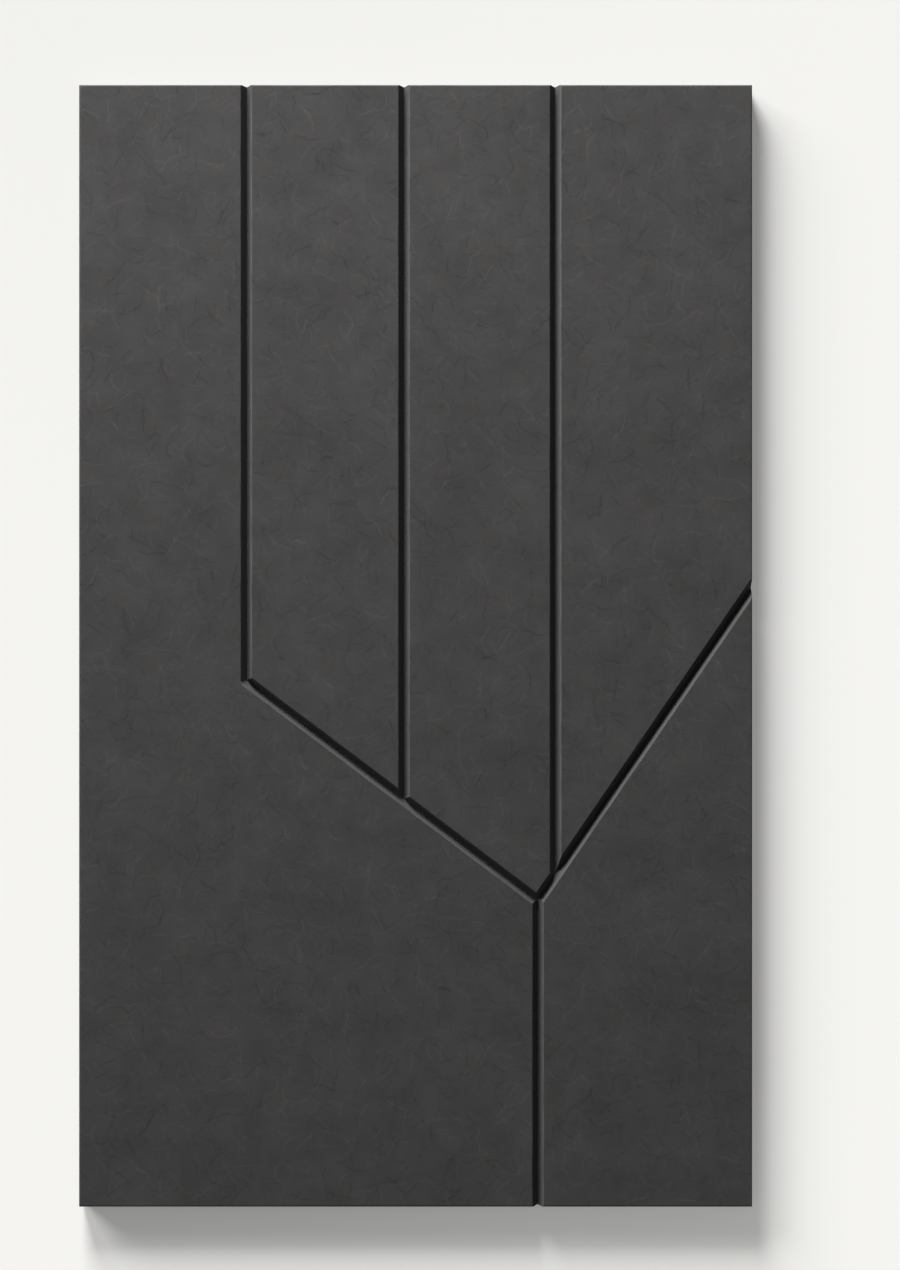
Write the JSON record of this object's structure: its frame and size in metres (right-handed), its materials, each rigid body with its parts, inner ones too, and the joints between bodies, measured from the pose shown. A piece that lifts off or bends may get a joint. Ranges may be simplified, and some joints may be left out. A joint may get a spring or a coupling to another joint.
{
  "type": "grooved wall panel",
  "caption": "Flat rectangular wall panel of charcoal fibreboard whose face is divided by narrow V-grooves that run down from the top end and join in a fork.",
  "frame": {"origin": "middle of the panel's flat back, which lies on the floor", "axes": "+X across the panel to its right edge as seen from the front, +Y up to its top end, +Z out of its face"},
  "size_m": [0.6, 1, 0.018],
  "materials": {
    "charcoal_fibreboard": "matte"
  },
  "bodies": {
    "root": {"wall_panel": "charcoal_fibreboard"}
  },
  "joints": []
}
